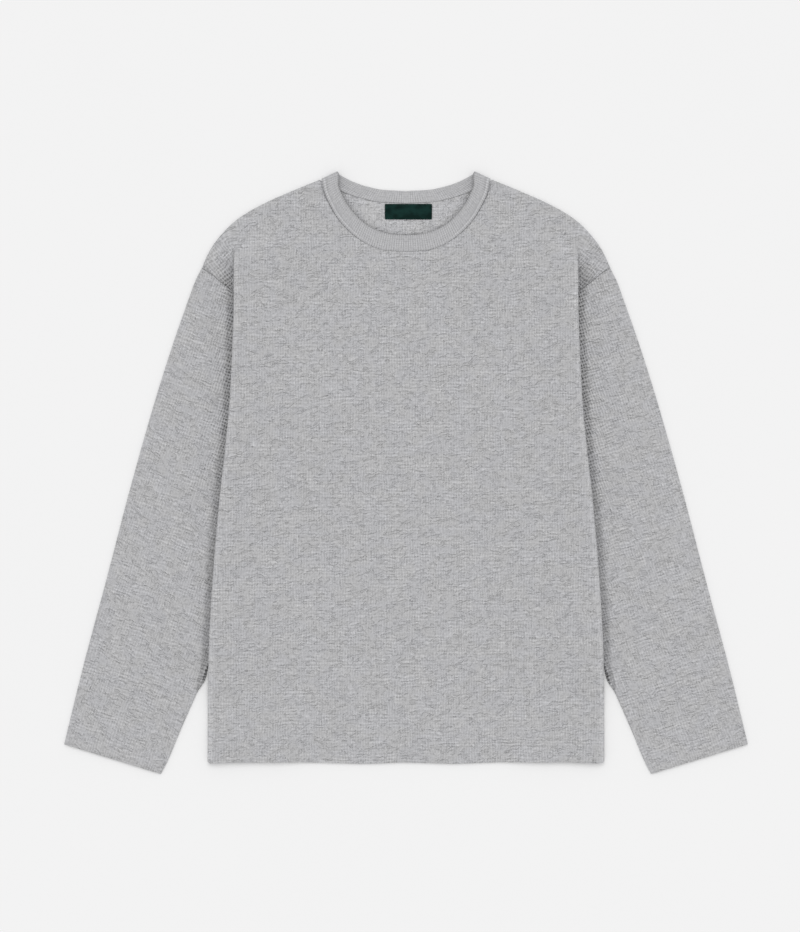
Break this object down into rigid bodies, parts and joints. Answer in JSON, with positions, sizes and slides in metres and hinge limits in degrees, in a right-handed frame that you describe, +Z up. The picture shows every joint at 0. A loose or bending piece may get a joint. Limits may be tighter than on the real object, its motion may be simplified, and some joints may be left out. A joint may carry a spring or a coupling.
{
  "type": "long-sleeved waffle-knit thermal top, laid flat",
  "caption": "Relaxed crew-neck thermal top of waffle knit, laid flat on its back with its sides folded under and its sleeves down.",
  "frame": {"origin": "centre of the outline seen from above, on the surface that the top lies on", "axes": "+X across the garment towards the sleeve on the viewer's right, +Y towards the neck, +Z up from the surface"},
  "size_m": [0.8198, 0.7223, 0.0167],
  "materials": {
    "waffle": "heather grey waffle knit, matt",
    "rib": "heather grey fine rib knit, matt",
    "label": "dark green woven ribbon, blank"
  },
  "bodies": {
    "root": {"front": "waffle", "back": "waffle", "sleeve_left": "waffle", "sleeve_right": "waffle", "neckband": "rib", "label": "label"}
  },
  "joints": []
}
